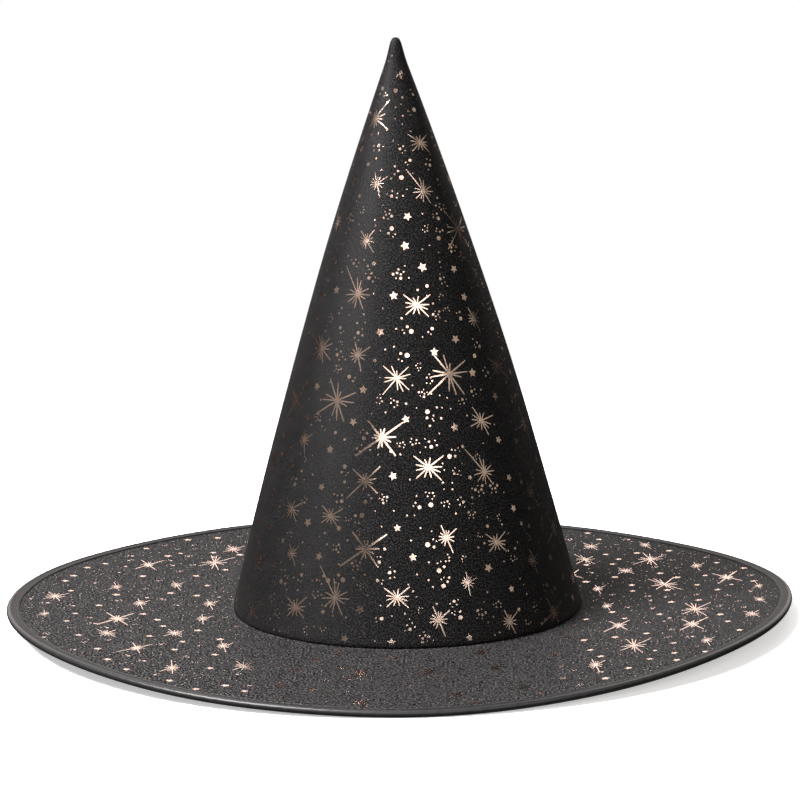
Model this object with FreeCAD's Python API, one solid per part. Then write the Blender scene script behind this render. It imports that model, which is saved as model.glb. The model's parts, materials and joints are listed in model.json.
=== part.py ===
import FreeCAD
import Part
import math
import os

Vector = FreeCAD.Vector

# A pointed witch hat: a stiffened cloth cone sewn to a wide round brim with a wired, taped edge.
# Millimetres, +Z up, the wearer faces -Y, the sewn joins are at the back (+Y).
# Heights below are from the middle of the brim's thickness at the crown seam, until
# each piece is lifted so that the hat stands on Z = 0.

# Overall sizes
brim_radius = 208.0        # outside of the edge tape
crown_height = 305.5       # seam to the point where the crown's sides would meet
seam_radius = 93.3         # outside of the crown at the seam
tip_slope = 0.3655         # how fast the crown widens just below its tip
crown_axis_x = 4.4         # the crown is sewn this far off the brim's centre
crown_lean = -0.0071       # sideways shift of the crown's tip per mm of height
stand_height = 2.24        # from the floor to the middle of the brim at the seam

# The brim's edge waves: raised at the sides, low at the front and the back right
wave_mean = 3.37
wave_tilt = -1.25
wave_saddle = 3.03
wave_twist = -0.76
wave_lobe = 0.53
wave_lobe_turn = -2.19

# Thin layers
air = 0.1                  # clearance between plies
cloth = 0.4                # printed cloth, brim and crown
brim_cloth = 0.35          # brim cloth where it lies on the stiffener
brim_core = 1.1            # brim stiffener
crown_core = 0.8           # crown stiffener
lining = 0.3
tape = 0.4                 # binding on the brim's edge
tape_width = 6.7           # how far the binding reaches in over the brim
thread = 0.15              # radius of sewing thread

# Brim edge
bead_outside = 1.8         # the tape rolls round the wire at this radius
wire_radius = 0.5
wire_gap = 0.8             # between the wire's two ends
crimp_length = 12.0
crimp_outside = 1.0
crimp_inside = 0.72

# Where the crown and the brim are sewn together
allowance = 9.0            # height of the turned-up seam allowances
roll_height = 5.0          # the crown's cloth starts to roll under here
hem_height = 10.6          # lower edge of the lining
core_start = 4.0           # lower edge of the crown stiffener
hem_gap = 0.15             # between the two collars of brim cloth
foot_height = 1.15         # underside of the crown's rolled cloth, close above the brim
turn_height = 2.4          # the rolled cloth stands upright again here, inside the crown
join_height = 2.7          # the stitching that joins crown and brim
seam_slot = 7.0            # half width of the gap in the stiffener for the back seam
slot_at_tip = 1.2
slit = 0.25                # between the two edges of cloth in the back seam

# Up at the tip
tip_top = crown_height - 4         # the cloth ends in a round nub
tip_nub = crown_height - 9         # which starts here
core_top = crown_height - 12
seam_top = crown_height - 20       # end of the turned-in seam edges
lining_top = crown_height - 22
seam_thread_top = crown_height - 45
knot_height = 6.0
knot_radius_low = 3.2
knot_radius_high = 1.6

# Sweatband
band_thick = 0.8
head_radius = 88.3         # inside of the sweatband's round lower edge
head_length = 5.5          # height of that round edge
band_height = 30.0
band_spare = 0.6           # between the top of the ribbon and the lining
tack_heights = (10.0, 15.0, 20.0, 25.0)
tack_length = 6.0

# Care label, sewn in at the back
label_width = 30.0
label_length = 26.0
label_thick = 0.4
label_y = 79.8
label_top = 33.0
label_corner = 2.0
tack_drop = 1.0            # the label hangs this far below its sewing
tack_inset = 2.0           # from the label's sides to the ends of its sewing

# Worked out from the sizes above
crown_bulge = (tip_slope * crown_height - seam_radius) / crown_height ** 2
cloth_edge = brim_radius - 3.4
collar_inset = cloth + 2 * crown_core - 0.05
brim_face = brim_core / 2 + brim_cloth + 2 * air
brim_bottom = -brim_core / 2 - air - brim_cloth
bead_centre = (brim_radius - bead_outside, 0.0)
lining_inset = cloth + crown_core + 2 * air
band_bend = brim_bottom + head_length

spans = 36                 # curve spans round one ring
rim_fold = 94.5            # the brim is level inside this radius


# ---- the hat's own surfaces ----

def wall(height, inset=0.0):
    """Radius of the crown's outside face, or of a face lying inset inside it."""
    below_tip = crown_height - height
    radius = tip_slope * below_tip - crown_bulge * below_tip ** 2
    slope = tip_slope - 2 * crown_bulge * below_tip
    return radius - inset * math.hypot(1.0, slope)


def rim_wave(angle):
    """Height of the brim's edge over the seam, all the way round."""
    return (wave_mean + wave_tilt * math.sin(angle)
            + wave_saddle * math.cos(2 * angle) + wave_twist * math.sin(2 * angle)
            + wave_lobe * math.cos(3 * angle) + wave_lobe_turn * math.sin(3 * angle))


def rim_share(radius):
    """How much of the edge's wave reaches this radius, from 0 at the seam to 1 at the edge."""
    return max(0.0, (radius - rim_fold) / (brim_radius - rim_fold))


def on_brim(radius, height, angle, stretch=1.0):
    share = rim_share(radius)
    x = stretch * radius * math.cos(angle) + crown_axis_x * (1.0 - share)
    return Vector(x, stretch * radius * math.sin(angle), height + share * rim_wave(angle))


def on_crown(radius, height, angle, stretch=1.0):
    x = stretch * radius * math.cos(angle) + crown_axis_x + crown_lean * height
    return Vector(x, stretch * radius * math.sin(angle), height)


def brim_point(radius, height, angle):
    """A point of a finished brim ring, which passes a little inside its control points."""
    step = 2 * math.pi / spans
    near = [on_brim(radius, height, angle + k * step).z for k in (-1, 0, 1)]
    point = on_brim(radius, height, angle)
    return Vector(point.x, point.y, (near[0] + 4 * near[1] + near[2]) / 6)


# ---- closed rings: a section in radius and height, carried round the hat ----

def ring_poles(point, place):
    step = 2 * math.pi / spans
    stretch = 3.0 / (2.0 + math.cos(step))
    return [place(point[0], point[1], k * step, stretch) for k in range(spans)]


def band(points, place):
    """One face of a ring: the points are the controls of a single curve across it."""
    rows = [ring_poles(point, place) for point in points]
    surface = Part.BSplineSurface()
    surface.buildFromPolesMultsKnots(
        rows, [len(rows)] * 2, [1] * (spans + 1), [0.0, 1.0],
        [float(k) for k in range(spans + 1)], False, True, len(rows) - 1, 3)
    return surface.toShape()


def cap(point, place):
    """A flat disc that closes a ring at its tip."""
    curve = Part.BSplineCurve()
    curve.buildFromPolesMultsKnots(
        ring_poles(point, place), [1] * (spans + 1), [float(k) for k in range(spans + 1)], True, 3)
    return Part.Face(Part.Wire([curve.toShape()]))


def closed_solid(faces):
    shell = Part.makeShell(faces)
    shell.sewShape()
    solid = Part.makeSolid(shell.Shells[0])
    if solid.Volume < 0:
        solid.reverse()
    return solid


def ring(section, place):
    return closed_solid([band(points, place) for points in section])


def lines(*points):
    """Straight stretches of a section, through the points in turn."""
    return [[points[k], points[k + 1]] for k in range(len(points) - 1)]


def quarter(centre, radius, start):
    """A quarter circle of a section, clockwise from the start angle in degrees."""
    turn = 4.0 / 3.0 * math.tan(math.radians(22.5)) * radius
    first = math.radians(start)
    last = math.radians(start - 90.0)
    begin = (centre[0] + radius * math.cos(first), centre[1] + radius * math.sin(first))
    end = (centre[0] + radius * math.cos(last), centre[1] + radius * math.sin(last))
    return [begin,
            (begin[0] + turn * math.sin(first), begin[1] - turn * math.cos(first)),
            (end[0] - turn * math.sin(last), end[1] + turn * math.cos(last)),
            end]


def thread_section(centre, radius):
    """An eight-sided section, as round as a thread or wire this thin needs."""
    turns = [math.radians(90 - 45 * k) for k in range(9)]
    return lines(*[(centre[0] + radius * math.cos(turn), centre[1] + radius * math.sin(turn))
                   for turn in turns])


def bow(low, high, inset):
    """The crown's gently bulging side, between two heights."""
    middle = (low + high) / 2
    ends = (wall(low, inset), wall(high, inset))
    control = 2 * wall(middle, inset) - (ends[0] + ends[1]) / 2
    return [(ends[0], low), (control, middle), (ends[1], high)]


def seam_wedge(half_low, half_high, bottom, top):
    """A tapering slice through the back of the crown, along its seam."""
    axis_low = crown_axis_x + crown_lean * bottom
    axis_high = crown_axis_x + crown_lean * top
    outline = [Vector(axis_low - half_low, 0, bottom), Vector(axis_low + half_low, 0, bottom),
               Vector(axis_high + half_high, 0, top), Vector(axis_high - half_high, 0, top)]
    face = Part.Face(Part.makePolygon(outline + outline[:1]))
    return face.extrude(Vector(0, seam_radius + 10, 0))


# ---- crown ----

def crown_fabric():
    """The printed cone, rolled under at the seam, with its raw edges turned in at the back."""
    tip = tip_nub
    foot = foot_height
    fold = foot + cloth
    inner_ply = lining_inset
    back_face = inner_ply + cloth
    middle = wall(foot, inner_ply * 0.6 + cloth)
    section = [
        [(0.5, tip_top), (2.1, tip_top), (wall(tip) - 0.8, tip + 2.2), (wall(tip), tip)],
        bow(roll_height, tip, 0)[::-1],
        [(wall(roll_height), roll_height), (wall(0.8), foot), (middle, foot)],
        [(middle, foot), (wall(foot, back_face), foot), (wall(turn_height, back_face), turn_height)],
        [(wall(turn_height, back_face), turn_height), (wall(allowance, back_face), allowance)],
        [(wall(allowance, back_face), allowance), (wall(allowance, inner_ply), allowance)],
        [(wall(allowance, inner_ply), allowance), (wall(turn_height, inner_ply), turn_height)],
        [(wall(turn_height, inner_ply), turn_height), (wall(fold, inner_ply), fold), (middle, fold)],
        [(middle, fold), (wall(fold, cloth), fold), (wall(roll_height, cloth), roll_height)],
        bow(roll_height, tip - 2, cloth),
        [(wall(tip - 2, cloth), tip - 2), (wall(tip, cloth) * 0.8, tip + 1), (0.4, tip_top - 1)],
    ]
    faces = [band(points, on_crown) for points in section]
    faces.append(cap(section[0][0], on_crown))
    faces.append(cap(section[-1][-1], on_crown))
    cone = closed_solid(faces)
    turned = ring(ply_section(hem_height, seam_top, cloth / 2, 2 * cloth), on_crown)
    turned = turned.common(seam_wedge(seam_slot - 0.5, slot_at_tip - 0.3, hem_height, seam_top))
    cone = cone.fuse(turned)
    return cone.cut(seam_wedge(slit / 2, slit / 2, roll_height + 0.6, seam_top))


def ply_section(low, high, outside, inside):
    """An even ply of the crown between two heights, from its outside face to its inside face."""
    outer = bow(low, high, outside)
    inner = bow(low, high, inside)
    return [outer, [outer[2], inner[2]], inner[::-1], [inner[0], outer[0]]]


def crown_interlining():
    outside = cloth + air
    cone = ring(ply_section(core_start, core_top, outside, outside + crown_core), on_crown)
    return cone.cut(seam_wedge(seam_slot, slot_at_tip, core_start - 1, core_top + 1))


def crown_lining():
    return ring(ply_section(hem_height, lining_top, lining_inset, lining_inset + lining), on_crown)


def crown_seam_thread():
    """One row of lockstitch down the back seam, on the turned-in edges."""
    inset = 2 * cloth + air + thread
    heights = (hem_height + 3, crown_height / 2, seam_thread_top)
    path = [Vector(crown_axis_x + crown_lean * z, wall(z, inset), z) for z in heights]
    arc = Part.Wire([Part.Arc(*path).toShape()])
    start = Part.Circle(path[0], arc.Edges[0].tangentAt(arc.Edges[0].FirstParameter), thread)
    return arc.makePipe(Part.Face(Part.Wire([start.toShape()])))


def tip_tack():
    """A knot of thread that gathers the linings just under the tip."""
    base = Vector(crown_axis_x + crown_lean * seam_top, 0, seam_top)
    return Part.makeCone(knot_radius_low, knot_radius_high, knot_height, base)


# ---- brim ----

def brim_ply(low, inset):
    """A brim cloth and its seam allowance turned up inside the crown."""
    high = low + brim_cloth
    outer = wall(high, inset)
    inner = wall(high, inset + brim_cloth)
    top_outer = (wall(allowance, inset), allowance)
    top_inner = (wall(allowance, inset + brim_cloth), allowance)
    return ring(lines((cloth_edge, low), (cloth_edge, high), (outer, high), top_outer, top_inner,
                      (inner, low), (cloth_edge, low)), on_brim)


def brim_top_fabric():
    return brim_ply(brim_core / 2 + air, collar_inset)


def brim_bottom_fabric():
    return brim_ply(brim_bottom, collar_inset + brim_cloth + hem_gap)


def brim_interlining():
    half = brim_core / 2
    start = seam_radius - 1.6
    return ring(lines((cloth_edge, -half), (cloth_edge, half), (start, half), (start, -half),
                      (cloth_edge, -half)), on_brim)


def brim_binding():
    """Tape folded over the brim's edge, with a round bead over the wire."""
    leg = brim_radius - tape_width
    neck = bead_centre[0] - 1.6
    face = brim_face
    outer = [
        [(leg, face), (leg, face + tape)],
        [(leg, face + tape), (neck, face + tape)],
        [(neck, face + tape), (neck + 0.6, face + tape - 0.05), (bead_centre[0], bead_outside)],
        quarter(bead_centre, bead_outside, 90)]
    inner = [
        quarter(bead_centre, bead_outside - tape, 90)[::-1],
        [(bead_centre[0], bead_outside - tape), (neck + 0.6, face), (neck, face)],
        [(neck, face), (leg, face)]]
    section = outer + mirrored(outer) + mirrored(inner) + inner
    return ring(section, on_brim)


def mirrored(rows):
    """The same stretches below the brim, run through in the opposite order."""
    return [[(radius, -height) for radius, height in points[::-1]] for points in rows[::-1]]


def binding_thread(side):
    radius = brim_radius - tape_width + 1.2
    height = side * (brim_face + tape + air + thread)
    return ring(thread_section((radius, height), thread), on_brim)


def brim_wire():
    """Spring wire in the bead; its two ends meet at the back."""
    hoop = ring(thread_section(bead_centre, wire_radius), on_brim)
    back = brim_point(*bead_centre, math.pi / 2)
    gap = Part.makeBox(wire_gap, 10, 10, Vector(-wire_gap / 2, back.y - 5, back.z - 5))
    return hoop.cut(gap)


def wire_crimp():
    """A short tube pinched over both ends of the wire."""
    middle = brim_point(*bead_centre, math.pi / 2)
    start = Vector(middle.x - crimp_length / 2, middle.y - 0.03, middle.z)
    along = Vector(1, 0, 0)
    tube = Part.makeCylinder(crimp_outside, crimp_length, start, along)
    return tube.cut(Part.makeCylinder(crimp_inside, crimp_length, start, along))


def brim_join_thread():
    """The stitching that joins crown and brim, inside the fold of the crown's cloth."""
    radius = wall(join_height, cloth + air + crown_core / 2)
    return ring(thread_section((radius, join_height), 1.5 * thread), on_crown)


# ---- inside the crown ----

def band_inside(height):
    """Inside radius of the leaning part of the sweatband."""
    top_radius = wall(band_height, lining_inset + lining) - band_thick - band_spare
    along = (height - band_bend) / (band_height - band_bend)
    return head_radius + (top_radius - head_radius) * along


def sweatband():
    """Ribbon round the head opening: a round lower edge, then leaning in with the crown."""
    low = brim_bottom
    top_radius = band_inside(band_height)
    outline = [(head_radius, low), (head_radius, band_bend), (top_radius, band_height),
               (top_radius + band_thick, band_height), (head_radius + band_thick, band_bend),
               (head_radius + band_thick, low)]
    points = [Vector(crown_axis_x + radius, 0, height) for radius, height in outline]
    face = Part.Face(Part.makePolygon(points + points[:1]))
    ribbon = face.revolve(Vector(crown_axis_x, 0, 0), Vector(0, 0, 1), 360)
    gap = Part.makeBox(slit, 20, band_height + 5, Vector(crown_axis_x - slit / 2, head_radius - 12, low - 1))
    return ribbon.cut(gap)


def sweatband_thread():
    """Two rows of stitching, near the lower and the upper edge of the leaning part."""
    rows = []
    for height in (head_length + 1.5, band_height - 2.5):
        radius = band_inside(height) - thread - air
        centre = Vector(crown_axis_x, 0, height)
        rows.append(Part.makeTorus(radius, thread, centre, Vector(0, 0, 1)))
    return Part.makeCompound(rows)


def sweatband_bar_tack():
    """Close zigzag bars that hold the sweatband's two ends together."""
    bars = []
    for height in tack_heights:
        y = band_inside(height) - air - 3 * thread
        start = Vector(crown_axis_x - tack_length / 2, y, height)
        bars.append(Part.makeCylinder(2 * thread, tack_length, start, Vector(1, 0, 0)))
    return Part.makeCompound(bars)


def label_left():
    return crown_axis_x - label_width / 2


def care_label():
    """A blank woven label, hanging from its sewn upper edge."""
    corner = Vector(label_left(), label_y - label_thick / 2, label_top - label_length)
    label = Part.makeBox(label_width, label_thick, label_length, corner)
    across = [edge for edge in label.Edges if abs(edge.tangentAt(0).y) > 0.9]
    lower = [edge for edge in across if edge.BoundBox.ZMax < label_top - 1]
    return label.makeFillet(label_corner, lower)


def label_tack():
    """Thread that holds the label's upper edge to the lining."""
    height = label_top + tack_drop
    radius = 2 * thread
    reach = math.sqrt(wall(height, lining_inset + lining + air) ** 2 - (label_width / 2) ** 2)
    length = label_width - 2 * tack_inset
    left = label_left() + tack_inset
    bar = Part.makeCylinder(radius, length, Vector(left, label_y, height), Vector(1, 0, 0))
    for x in (left, left + length):
        foot = Part.makeCylinder(radius, reach - 0.3 - label_y, Vector(x, label_y, height), Vector(0, 1, 0))
        bar = bar.fuse(foot)
    return bar


pieces = {
    "crown_fabric": crown_fabric,
    "crown_interlining": crown_interlining,
    "crown_lining": crown_lining,
    "crown_seam_thread": crown_seam_thread,
    "tip_tack": tip_tack,
    "brim_top_fabric": brim_top_fabric,
    "brim_interlining": brim_interlining,
    "brim_bottom_fabric": brim_bottom_fabric,
    "brim_binding": brim_binding,
    "binding_needle_thread": lambda: binding_thread(1),
    "binding_bobbin_thread": lambda: binding_thread(-1),
    "brim_wire": brim_wire,
    "wire_crimp": wire_crimp,
    "brim_join_thread": brim_join_thread,
    "sweatband": sweatband,
    "sweatband_thread": sweatband_thread,
    "sweatband_bar_tack": sweatband_bar_tack,
    "care_label": care_label,
    "label_tack": label_tack,
}


def main():
    os.makedirs("parts", exist_ok=True)
    for name, make in pieces.items():
        shape = make()
        shape.translate(Vector(0, 0, stand_height))
        shape.exportStep("parts/" + name + ".step")
        print(name, shape.isValid(), len(shape.Solids), "solids,", round(shape.Volume, 1), "mm3")


main()
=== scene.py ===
import bisect
import json
import math
import random
import bpy
import bmesh
from mathutils import Matrix, Vector

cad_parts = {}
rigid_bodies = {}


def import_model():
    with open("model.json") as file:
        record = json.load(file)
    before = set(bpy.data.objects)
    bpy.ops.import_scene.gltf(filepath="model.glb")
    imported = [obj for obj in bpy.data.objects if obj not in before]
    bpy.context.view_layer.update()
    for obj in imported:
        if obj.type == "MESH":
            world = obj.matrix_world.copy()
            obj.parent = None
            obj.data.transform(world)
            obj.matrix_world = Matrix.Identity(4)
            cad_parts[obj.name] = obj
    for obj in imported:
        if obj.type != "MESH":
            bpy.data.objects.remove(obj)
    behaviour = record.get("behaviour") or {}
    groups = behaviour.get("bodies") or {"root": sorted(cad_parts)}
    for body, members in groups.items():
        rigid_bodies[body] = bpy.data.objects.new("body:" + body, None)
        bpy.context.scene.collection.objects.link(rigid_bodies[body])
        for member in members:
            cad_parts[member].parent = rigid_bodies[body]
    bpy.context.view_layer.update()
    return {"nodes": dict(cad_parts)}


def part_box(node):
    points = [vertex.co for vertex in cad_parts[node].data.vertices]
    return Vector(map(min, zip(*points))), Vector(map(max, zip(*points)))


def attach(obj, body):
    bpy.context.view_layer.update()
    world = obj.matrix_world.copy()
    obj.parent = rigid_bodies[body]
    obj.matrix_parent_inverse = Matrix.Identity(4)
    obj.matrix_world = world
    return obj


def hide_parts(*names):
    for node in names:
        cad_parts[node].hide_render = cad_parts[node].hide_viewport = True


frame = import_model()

# The hat's own shape, in metres. Heights in this file are over the brim's middle at the crown seam,
# angles are radians round the crown from the front, and grow towards the hat's right side (+X).
hat = {
    "crownHeight": 0.3055,
    "seamRadius": 0.0933,
    "tipSlope": 0.3655,
    "axisX": 0.0044,
    "lean": -0.0071,
    "seamLevel": 0.00224,
    "foldRadius": 0.0945,
    "mean": 0.00337,
    "tilt": -0.00125,
    "saddle": 0.00303,
    "twist": -0.00076,
    "lobe": 0.00053,
    "lobeTurn": -0.00219,
    "waveSpans": 36,
    "rollHeight": 0.005,
    "allowance": 0.009,
}
rimLow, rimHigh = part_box("brim_binding")
brimRadius = (rimHigh[0] - rimLow[0]) / 2
bulge = (hat["tipSlope"] * hat["crownHeight"] - hat["seamRadius"]) / hat["crownHeight"] ** 2
mm = 0.001
backAngle = math.pi


# the hat's surfaces

def wallRadius(height, inset=0.0):
    below = hat["crownHeight"] - height
    slope = hat["tipSlope"] - 2 * bulge * below
    return hat["tipSlope"] * below - bulge * below ** 2 - inset * math.hypot(1, slope)


def wallPoints(inset, *heights):
    return [(wallRadius(height, inset), height) for height in heights]


def rimWave(angle):
    turn = angle - math.pi / 2
    wave = hat["mean"] + hat["tilt"] * math.sin(turn)
    wave += hat["saddle"] * math.cos(2 * turn) + hat["twist"] * math.sin(2 * turn)
    return wave + hat["lobe"] * math.cos(3 * turn) + hat["lobeTurn"] * math.sin(3 * turn)


def softWave(angle):
    # the edge keeps to a smooth curve a little inside the wave
    step = 2 * math.pi / hat["waveSpans"]
    return (rimWave(angle - step) + 4 * rimWave(angle) + rimWave(angle + step)) / 6


def backGap(angle):
    # how far an angle is from the back seam, either way round
    return (angle % (2 * math.pi)) - backAngle


def crownSwell(angle, height):
    # the cone isn't dead straight: soft dents, and the back seam's groove between its two allowances
    rise = max(0.0, min(1.0, height / hat["crownHeight"]))
    soft = math.sin(2 * angle + 1.1 + 5 * rise) * 0.45 + math.sin(3 * angle - 9 * rise + 0.6) * 0.3
    soft += math.sin(5 * angle + 15 * rise) * 0.15
    away = abs(backGap(angle))
    seam = 0.30 * max(0.0, 1 - (away / 0.085) ** 4) - 0.75 * math.exp(-(away / 0.0065) ** 2)
    return mm * (0.55 * soft * math.sin(math.pi * rise) ** 0.7 + seam * min(1.0, (1 - rise) * 6))


def onCrown(angle, radius, height):
    full = radius + (crownSwell(angle, height) if radius > 0.6 * mm else 0.0)
    x = full * math.sin(angle) + hat["axisX"] + hat["lean"] * height
    return Vector((x, -full * math.cos(angle), height + hat["seamLevel"]))


def brimRipple(angle, radius):
    share = max(0.0, (radius - hat["foldRadius"]) / (brimRadius - hat["foldRadius"]))
    slow = math.sin(7 * angle + 3.2 * share) + 0.6 * math.sin(11 * angle - 2.1)
    return 0.16 * mm * share * slow


def onBrim(angle, radius, height):
    share = max(0.0, (radius - hat["foldRadius"]) / (brimRadius - hat["foldRadius"]))
    x = radius * math.sin(angle) + hat["axisX"] * (1 - share)
    z = height + share * softWave(angle) + brimRipple(angle, radius)
    return Vector((x, -radius * math.cos(angle), z + hat["seamLevel"]))


# mesh helpers

def evenly(low, high, steps):
    return [low + (high - low) * k / steps for k in range(steps + 1)]


def bend(points, steps):
    # a Bezier curve through its control points, as a list of points
    found = []
    for k in range(steps + 1):
        t = k / steps
        row = [Vector(p) for p in points]
        while len(row) > 1:
            row = [row[i].lerp(row[i + 1], t) for i in range(len(row) - 1)]
        found.append(tuple(row[0]))
    return found


def roundAngles(columns, extra=()):
    angles = [2 * math.pi * k / columns for k in range(columns)]
    angles += [backAngle + sign * offset for offset in extra for sign in (-1, 1)]
    return sorted(set(round(a, 6) for a in angles))


def finishMesh(name, bm, material, smooth=True):
    bmesh.ops.remove_doubles(bm, verts=bm.verts, dist=1e-7)
    bmesh.ops.recalc_face_normals(bm, faces=bm.faces)
    mesh = bpy.data.meshes.new(name)
    bm.to_mesh(mesh)
    bm.free()
    if smooth:
        mesh.shade_smooth()
    piece = bpy.data.objects.new(name, mesh)
    bpy.context.scene.collection.objects.link(piece)
    if material:
        mesh.materials.append(material)
    return piece


def ringSkin(name, rows, angles, place, material, flat=None, poles=False):
    # rows of (radius, height) carried round the hat; the rows close on themselves, or at the tip's two poles
    bm = bmesh.new()
    uv = bm.loops.layers.uv.new("cloth")
    count = len(angles)
    grid = []
    for index, row in enumerate(rows):
        if poles and index in (0, len(rows) - 1):
            grid.append([bm.verts.new(place(0.0, *row))] * count)
        else:
            grid.append([bm.verts.new(place(angle, *row)) for angle in angles])
    last = len(rows) if not poles else len(rows) - 1
    for i in range(last):
        j = (i + 1) % len(rows)
        for k in range(count):
            n = (k + 1) % count
            # the flat pattern is cut at the back, so its angles run from minus to plus half a turn
            back = 2 * math.pi if angles[k] > backAngle - 1e-5 else 0.0
            here = angles[k] - back
            turn = angles[n] + (2 * math.pi if n == 0 else 0.0) - back
            corners = [(grid[i][k], rows[i], here), (grid[i][n], rows[i], turn),
                       (grid[j][n], rows[j], turn), (grid[j][k], rows[j], here)]
            used = []
            for corner in corners:
                if corner[0] not in [u[0] for u in used]:
                    used.append(corner)
            if len(used) < 3:
                continue
            face = bm.faces.new([u[0] for u in used])
            for loop, corner in zip(face.loops, used):
                at = flat(corner[2], *corner[1]) if flat else (corner[2] * corner[1][0], corner[1][1])
                loop[uv].uv = at
    return finishMesh(name, bm, material)


def stripSkin(name, rows, stations, place, flat, material):
    # a closed section carried along an open path, each end closed by faces between the section's two halves
    bm = bmesh.new()
    uv = bm.loops.layers.uv.new("cloth")
    grid = [[bm.verts.new(place(station, *row)) for row in rows] for station in stations]
    count = len(rows)
    for a in range(len(stations) - 1):
        for r in range(count):
            n = (r + 1) % count
            corners = ((a, r), (a, n), (a + 1, n), (a + 1, r))
            face = bm.faces.new([grid[c][k] for c, k in corners])
            for loop, (c, k) in zip(face.loops, corners):
                loop[uv].uv = flat(stations[c], *rows[k])
    for end in (grid[0], grid[-1]):
        for k in range(count // 2):
            kept = list(dict.fromkeys([end[k], end[k + 1], end[count - 2 - k], end[count - 1 - k]]))
            if len(kept) > 2 and not bm.faces.get(kept):
                bm.faces.new(kept)
    return finishMesh(name, bm, material)


# node boards

class Wire:
    # one output socket; arithmetic on it adds Math nodes
    def __init__(self, board, socket):
        self.board = board
        self.socket = socket

    def math(self, operation, *others):
        return self.board.node("ShaderNodeMath", {"operation": operation}, dict(enumerate((self,) + others)))

    def __add__(self, other):
        return self.math("ADD", other)

    def __mul__(self, other):
        return self.math("MULTIPLY", other)

    __radd__ = __add__
    __rmul__ = __mul__


class Board:
    # a node tree that is wired up from Python expressions
    def __init__(self, tree):
        self.tree = tree
        self.made = None

    def feed(self, socket, value):
        if isinstance(value, Wire):
            self.tree.links.new(value.socket, socket)
        else:
            socket.default_value = value

    def node(self, kind, settings=None, sockets=None, out=0):
        made = self.tree.nodes.new(kind)
        for name, value in (settings or {}).items():
            setattr(made, name, value)
        for key, value in (sockets or {}).items():
            self.feed(made.inputs[key], value)
        self.made = made
        return Wire(self, made.outputs[out]) if made.outputs else made

    def other(self, out):
        # another output of the node that was made last
        return Wire(self, self.made.outputs[out])

    def split(self, vector):
        x = self.node("ShaderNodeSeparateXYZ", {}, {0: vector})
        return x, self.other(1), self.other(2)

    def mixColor(self, factor, first, second, blend="MIX"):
        return self.node("ShaderNodeMix", {"data_type": "RGBA", "blend_type": blend},
                         {0: factor, 6: first, 7: second}, 2)

    def ramp(self, value, low, high, toLow=0.0, toHigh=1.0):
        return self.node("ShaderNodeMapRange", {"clamp": True},
                         {0: value, 1: low, 2: high, 3: toLow, 4: toHigh})

    def bump(self, strength, distance, height):
        return self.node("ShaderNodeBump", {}, {"Strength": strength, "Distance": distance, "Height": height})

    def shine(self, value, roughness, spread=0.15):
        # a roughness that follows a pattern
        return self.ramp(value, 0.3, 0.7, roughness, roughness + spread)


def gray(value):
    return (value, value, value, 1.0)


def newMaterial(name):
    made = bpy.data.materials.new(name)
    made.use_nodes = True
    made.node_tree.nodes.clear()
    return made, Board(made.node_tree)


def closeMaterial(board, sockets):
    shader = board.node("ShaderNodeBsdfPrincipled", {}, sockets)
    board.node("ShaderNodeOutputMaterial", {}, {"Surface": shader})


def clothPlace(board, scale):
    # the cloth's own flat pattern, in units of 1 / scale metres
    place = board.node("ShaderNodeUVMap", {"uv_map": "cloth"})
    return board.node("ShaderNodeVectorMath", {"operation": "SCALE"}, {0: place, "Scale": scale})


def twill(board, place, pitch, lean):
    # ribs across the cloth, 0 to 1; the lean makes them diagonal
    across, along, _ = board.split(place)
    phase = (across + along * lean) * (2 * math.pi / pitch)
    return phase.math("SINE") * 0.5 + 0.5


def noise(board, place, scale, detail, rough=0.6):
    return board.node("ShaderNodeTexNoise", {},
                      {"Vector": place, "Scale": scale, "Detail": detail, "Roughness": rough})


# materials

printedLook = {
    "dark": 0.001,
    "light": 0.026,
    "ribPitch": 1.2,      # mm between the twill's ribs
    "grain": 1.25,        # specks of lighter fibre per mm
    "roughness": 0.50,
    "specular": 0.07,
    "bump": 0.45,
}


def printedCloth(name, look, lean):
    made, board = newMaterial(name)
    place = clothPlace(board, 1000)
    ribs = twill(board, place, look["ribPitch"], lean)
    fibre = noise(board, place, look["grain"], 1.0)
    slub = noise(board, place, 0.12, 3.0)
    heather = board.ramp(fibre, 0.49, 0.63) * (ribs * 0.6 + 0.4)
    tone = board.ramp(slub, 0.3, 0.7, 0.75, 1.2)
    tint = board.node("ShaderNodeCombineColor", {}, {0: tone, 1: tone * 0.97, 2: tone * 0.98})
    color = board.mixColor(1.0, board.mixColor(heather, gray(look["dark"]), gray(look["light"])), tint, "MULTIPLY")
    closeMaterial(board, {"Base Color": color, "Specular IOR Level": look["specular"],
                          "Roughness": board.shine(fibre, look["roughness"] - 0.08, 0.18),
                          "Normal": board.bump(look["bump"], 0.0004, ribs * 0.6 + fibre * 0.9)})
    return made


foilLook = {
    "gold": (0.96, 0.80, 0.71, 1.0),
    "deep": (0.86, 0.66, 0.55, 1.0),
    "roughness": 0.17,
    "bump": 0.06,
}


def foil():
    # thin rose gold transfer foil, which takes the cloth's grain
    made, board = newMaterial("foil")
    place = board.node("ShaderNodeTexCoord", {}, {}, "Object")
    grain = noise(board, place, 1700.0, 2.0)
    wear = noise(board, place, 260.0, 3.0)
    closeMaterial(board, {"Base Color": board.mixColor(board.ramp(wear, 0.35, 0.7), foilLook["gold"], foilLook["deep"]),
                          "Metallic": 1.0, "Roughness": board.shine(wear, foilLook["roughness"] - 0.06, 0.14),
                          "Normal": board.bump(foilLook["bump"], 0.0004, grain)})
    return made


tapeLook = {"thread": 0.55, "dark": 0.010, "light": 0.015, "beadGloss": 0.45, "specular": 0.03}


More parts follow.
